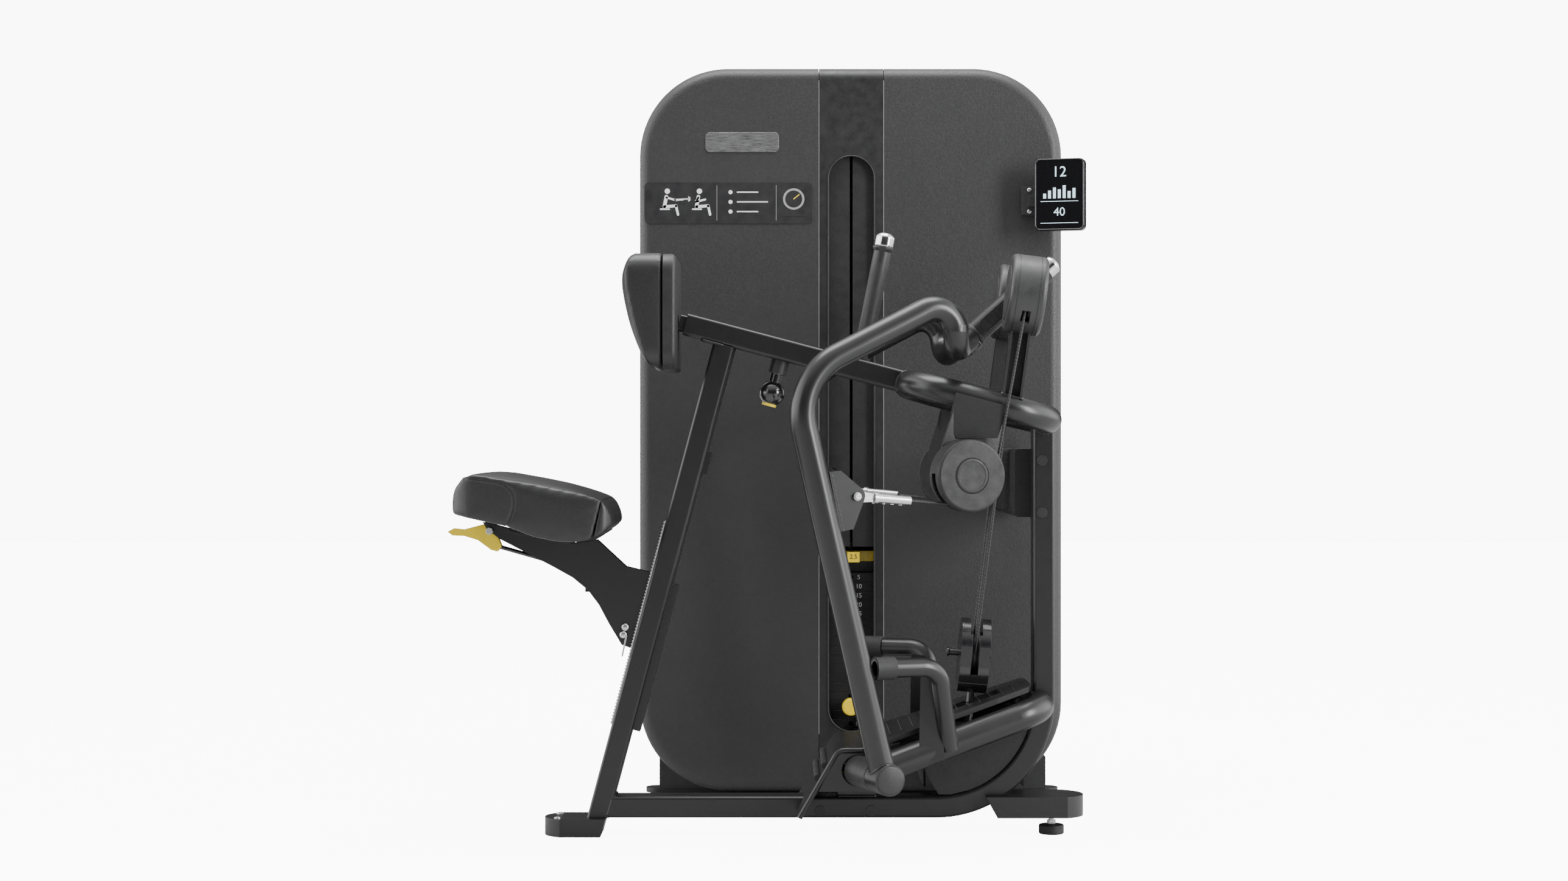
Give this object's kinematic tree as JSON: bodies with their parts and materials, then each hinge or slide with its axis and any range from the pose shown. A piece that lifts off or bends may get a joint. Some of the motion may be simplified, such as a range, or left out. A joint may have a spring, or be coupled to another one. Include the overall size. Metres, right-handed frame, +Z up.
{
  "type": "seated cable row machine",
  "caption": "Chest-supported seated cable row with lever arms, swivel grips, rope and pulley drive, adjustable seat and pad, and an enclosed weight-stack tower.",
  "frame": {"origin": "floor under the middle of the seat-side foot, on the machine's middle plane between the two arms", "axes": "+X the way the seated user faces, +Y the user's left (towards the weight tower), +Z up"},
  "size_m": [1.2403, 1.1969, 1.502],
  "materials": {
    "frame_paint": "satin black paint",
    "arm_paint": "satin black paint",
    "cover_grey": "textured dark grey",
    "tower_grain": "grained dark grey",
    "strip_dark": "smooth dark",
    "structure_paint": "dark paint",
    "rubber_black": "matt",
    "plug_black": "satin",
    "silver_steel": "brushed",
    "bright_tube": "polished",
    "plate_black": "semi-gloss",
    "yellow_plastic": "gloss yellow",
    "knob_black": "gloss",
    "grip_rubber": "ribbed",
    "rope_black": "sheathed",
    "wheel_plastic": "satin",
    "upholstery": "grained synthetic leather",
    "pad_shell": "matt",
    "placard_white": "printed sheet",
    "screen_glass": "gloss black"
  },
  "bodies": {
    "frame": {"base_tube": "frame_paint", "seat_column": "frame_paint", "upper_beam": "frame_paint", "upper_ring": "frame_paint", "fork_tubes": "frame_paint", "frame_feet": "frame_paint", "foot_platform": "frame_paint", "rubber_buffers": "rubber_black", "pivot_shafts": "structure_paint", "tube_plugs": "plug_black", "seat_rack": "silver_steel", "fixed_grip": "grip_rubber", "pulley_brackets": "cover_grey", "side_pulley_covers": "cover_grey", "top_pulley_covers": "cover_grey", "link_covers": "cover_grey", "tower_frame": "structure_paint", "tower_left_cover": "tower_grain", "tower_right_cover": "tower_grain", "tower_centre_panel": "strip_dark", "slot_leaves": "strip_dark", "guide_rods": "bright_tube", "resting_plates": "plate_black", "lift_ropes": "rope_black", "tower_placards": "placard_white", "display_bracket": "cover_grey"},
    "levelling_foot": {"levelling_foot": "rubber_black"},
    "display": {"display_shell": "cover_grey", "display_glass": "screen_glass"},
    "seat": {"seat_carriage": "frame_paint", "seat_cushion": "upholstery"},
    "seat_lever": {"seat_lever": "yellow_plastic"},
    "seat_pull_rod": {"seat_pull_rod": "knob_black"},
    "chest_rest": {"chest_slide_tube": "frame_paint", "chest_backing": "pad_shell", "chest_pad": "upholstery"},
    "lock_knob": {"lock_knob": "knob_black"},
    "block_ropes": {"block_ropes": "rope_black"},
    "block": {"block_housing": "cover_grey"},
    "block_wheel": {"block_wheel": "wheel_plastic"},
    "stack_rope": {"stack_rope": "rope_black"},
    "stack": {"lifted_plates": "plate_black", "stack_stem": "plate_black"},
    "selector_pin": {"selector_pin": "yellow_plastic"},
    "increment_weight": {"increment_weight": "yellow_plastic"},
    "tower_wheel": {"tower_wheel": "wheel_plastic"},
    "tower_low_wheel": {"tower_low_wheel": "wheel_plastic"},
    "base_wheel": {"base_wheel": "wheel_plastic"},
    "right_arm": {"right_arm_tube": "arm_paint"},
    "right_handle": {"right_handle": "grip_rubber"},
    "right_rope_line": {"right_row_rope": "rope_black"},
    "right_rope_fitting": {"right_rope_fitting": "silver_steel"},
    "right_side_wheel": {"right_side_wheel": "wheel_plastic"},
    "right_top_wheel": {"right_top_wheel": "wheel_plastic"},
    "left_arm": {"left_arm_tube": "arm_paint"},
    "left_handle": {"left_handle": "grip_rubber"},
    "left_rope_line": {"left_row_rope": "rope_black"},
    "left_rope_fitting": {"left_rope_fitting": "silver_steel"},
    "left_side_wheel": {"left_side_wheel": "wheel_plastic"},
    "left_top_wheel": {"left_top_wheel": "wheel_plastic"}
  },
  "joints": [
    {"name": "right_arm_pull", "type": "hinge", "parent": "frame", "child": "right_arm", "pos_m": [0.567, -0.252, 0.1345], "axis": [0.342, -0.9397, 0], "range_deg": [0, 36]},
    {"name": "right_handle_swivel", "type": "hinge", "parent": "right_arm", "child": "right_handle", "pos_m": [0.731, -0.038, 0.92], "axis": [0.746, 0, 0.666], "range_deg": [-60, 60]},
    {"name": "right_rope_line_swing", "type": "hinge", "parent": "frame", "child": "right_rope_line", "pos_m": [0.71773, -0.19714, 0.671], "axis": [0.342, -0.9397, 0], "range_deg": [0, 17.5]},
    {"name": "right_rope_pull", "type": "slide", "parent": "right_rope_line", "child": "right_rope_fitting", "axis": [-0.9367, -0.3409, 0.0801], "range_m": [0, 0.32], "deforming": ["right_row_rope"]},
    {"name": "right_side_wheel_turn", "type": "hinge", "parent": "frame", "child": "right_side_wheel", "pos_m": [0.71773, -0.19714, 0.671], "axis": [0.342, -0.9397, 0], "range_deg": [-330, 5]},
    {"name": "right_top_wheel_turn", "type": "hinge", "parent": "frame", "child": "right_top_wheel", "pos_m": [0.828, -0.141, 0.998], "axis": [0.9914, 0, -0.1305], "range_deg": [-5, 320]},
    {"name": "left_arm_pull", "type": "hinge", "parent": "frame", "child": "left_arm", "pos_m": [0.567, 0.252, 0.1345], "axis": [-0.342, -0.9397, 0], "range_deg": [0, 36]},
    {"name": "left_handle_swivel", "type": "hinge", "parent": "left_arm", "child": "left_handle", "pos_m": [0.731, 0.038, 0.92], "axis": [0.746, 0, 0.666], "range_deg": [-60, 60]},
    {"name": "left_rope_line_swing", "type": "hinge", "parent": "frame", "child": "left_rope_line", "pos_m": [0.71773, 0.19714, 0.671], "axis": [-0.342, -0.9397, 0], "range_deg": [0, 17.5]},
    {"name": "left_rope_pull", "type": "slide", "parent": "left_rope_line", "child": "left_rope_fitting", "axis": [-0.9367, 0.3409, 0.0801], "range_m": [0, 0.32], "deforming": ["left_row_rope"]},
    {"name": "left_side_wheel_turn", "type": "hinge", "parent": "frame", "child": "left_side_wheel", "pos_m": [0.71773, 0.19714, 0.671], "axis": [-0.342, -0.9397, 0], "range_deg": [-330, 5]},
    {"name": "left_top_wheel_turn", "type": "hinge", "parent": "frame", "child": "left_top_wheel", "pos_m": [0.828, 0.141, 0.998], "axis": [0.9914, 0, -0.1305], "range_deg": [-320, 5]},
    {"name": "levelling_foot_turn", "type": "hinge", "parent": "frame", "child": "levelling_foot", "pos_m": [0.889, 0, 0.02], "axis": [0, 0, 1], "continuous": true},
    {"name": "display_turn", "type": "hinge", "parent": "frame", "child": "display", "pos_m": [0.962, 0.483, 1.25], "axis": [0, 0, 1], "range_deg": [-15, 30]},
    {"name": "seat_height", "type": "slide", "parent": "frame", "child": "seat", "axis": [0.2571, 0, 0.9664], "range_m": [-0.08, 0.14]},
    {"name": "seat_lever_lift", "type": "hinge", "parent": "seat", "child": "seat_lever", "pos_m": [-0.1566, 0, 0.566], "axis": [0, 1, 0], "range_deg": [0, 8]},
    {"name": "seat_pull_rod_slide", "type": "slide", "parent": "seat", "child": "seat_pull_rod", "axis": [-0.9617, 0, 0.274], "range_m": [0, 0.006]},
    {"name": "chest_reach", "type": "slide", "parent": "frame", "child": "chest_rest", "axis": [-0.9668, 0, 0.2554], "range_m": [0, 0.13]},
    {"name": "lock_knob_pull", "type": "slide", "parent": "frame", "child": "lock_knob", "axis": [-0.2554, 0, -0.9668], "range_m": [0, 0.012]},
    {"name": "block_lift_by_right_arm", "type": "slide", "parent": "frame", "child": "block_ropes", "axis": [0.0802, 0, 0.9968], "range_m": [0, 0.15], "deforming": ["block_ropes"]},
    {"name": "block_lift_by_left_arm", "type": "slide", "parent": "block_ropes", "child": "block", "axis": [0.0802, 0, 0.9968], "range_m": [0, 0.15]},
    {"name": "block_wheel_turn", "type": "hinge", "parent": "block", "child": "block_wheel", "pos_m": [0.744, 0, 0.336], "axis": [0.9968, 0, -0.0802], "continuous": true},
    {"name": "stack_lift_by_right_arm", "type": "slide", "parent": "frame", "child": "stack_rope", "axis": [0, 0, 1], "range_m": [0, 0.15], "deforming": ["stack_rope"]},
    {"name": "stack_lift_by_left_arm", "type": "slide", "parent": "stack_rope", "child": "stack", "axis": [0, 0, 1], "range_m": [0, 0.15]},
    {"name": "selector_pin_pull", "type": "slide", "parent": "stack", "child": "selector_pin", "axis": [0, -1, 0], "range_m": [0, 0.08]},
    {"name": "increment_slide", "type": "slide", "parent": "stack", "child": "increment_weight", "axis": [0, -1, 0], "range_m": [0, 0.008]},
    {"name": "tower_wheel_turn", "type": "hinge", "parent": "frame", "child": "tower_wheel", "pos_m": [0.63075, 0.6, 1.37], "axis": [0, 1, 0], "continuous": true},
    {"name": "tower_low_wheel_turn", "type": "hinge", "parent": "frame", "child": "tower_low_wheel", "pos_m": [0.733, 0.555, 0.137], "axis": [1, 0, 0], "continuous": true},
    {"name": "base_wheel_turn", "type": "hinge", "parent": "frame", "child": "base_wheel", "pos_m": [0.733, 0.042, 0.137], "axis": [1, 0, 0], "continuous": true}
  ],
  "couplings": [
    {"joint": "right_rope_line_swing", "follows": "right_arm_pull", "ratio": 0.47},
    {"joint": "right_rope_pull", "follows": "right_arm_pull", "m_per_rad": 0.499},
    {"joint": "right_side_wheel_turn", "follows": "right_arm_pull", "ratio": -8.9451},
    {"joint": "right_top_wheel_turn", "follows": "right_arm_pull", "ratio": 8.6198},
    {"joint": "left_rope_line_swing", "follows": "left_arm_pull", "ratio": 0.47},
    {"joint": "left_rope_pull", "follows": "left_arm_pull", "m_per_rad": 0.499},
    {"joint": "left_side_wheel_turn", "follows": "left_arm_pull", "ratio": -8.9451},
    {"joint": "left_top_wheel_turn", "follows": "left_arm_pull", "ratio": -8.6198},
    {"joint": "seat_pull_rod_slide", "follows": "seat_lever_lift", "m_per_rad": 0.02485},
    {"joint": "block_lift_by_right_arm", "follows": "right_arm_pull", "m_per_rad": 0.23705},
    {"joint": "block_lift_by_left_arm", "follows": "left_arm_pull", "m_per_rad": 0.23705},
    {"joint": "stack_lift_by_right_arm", "follows": "right_arm_pull", "m_per_rad": 0.23705},
    {"joint": "stack_lift_by_left_arm", "follows": "left_arm_pull", "m_per_rad": 0.23705}
  ]
}
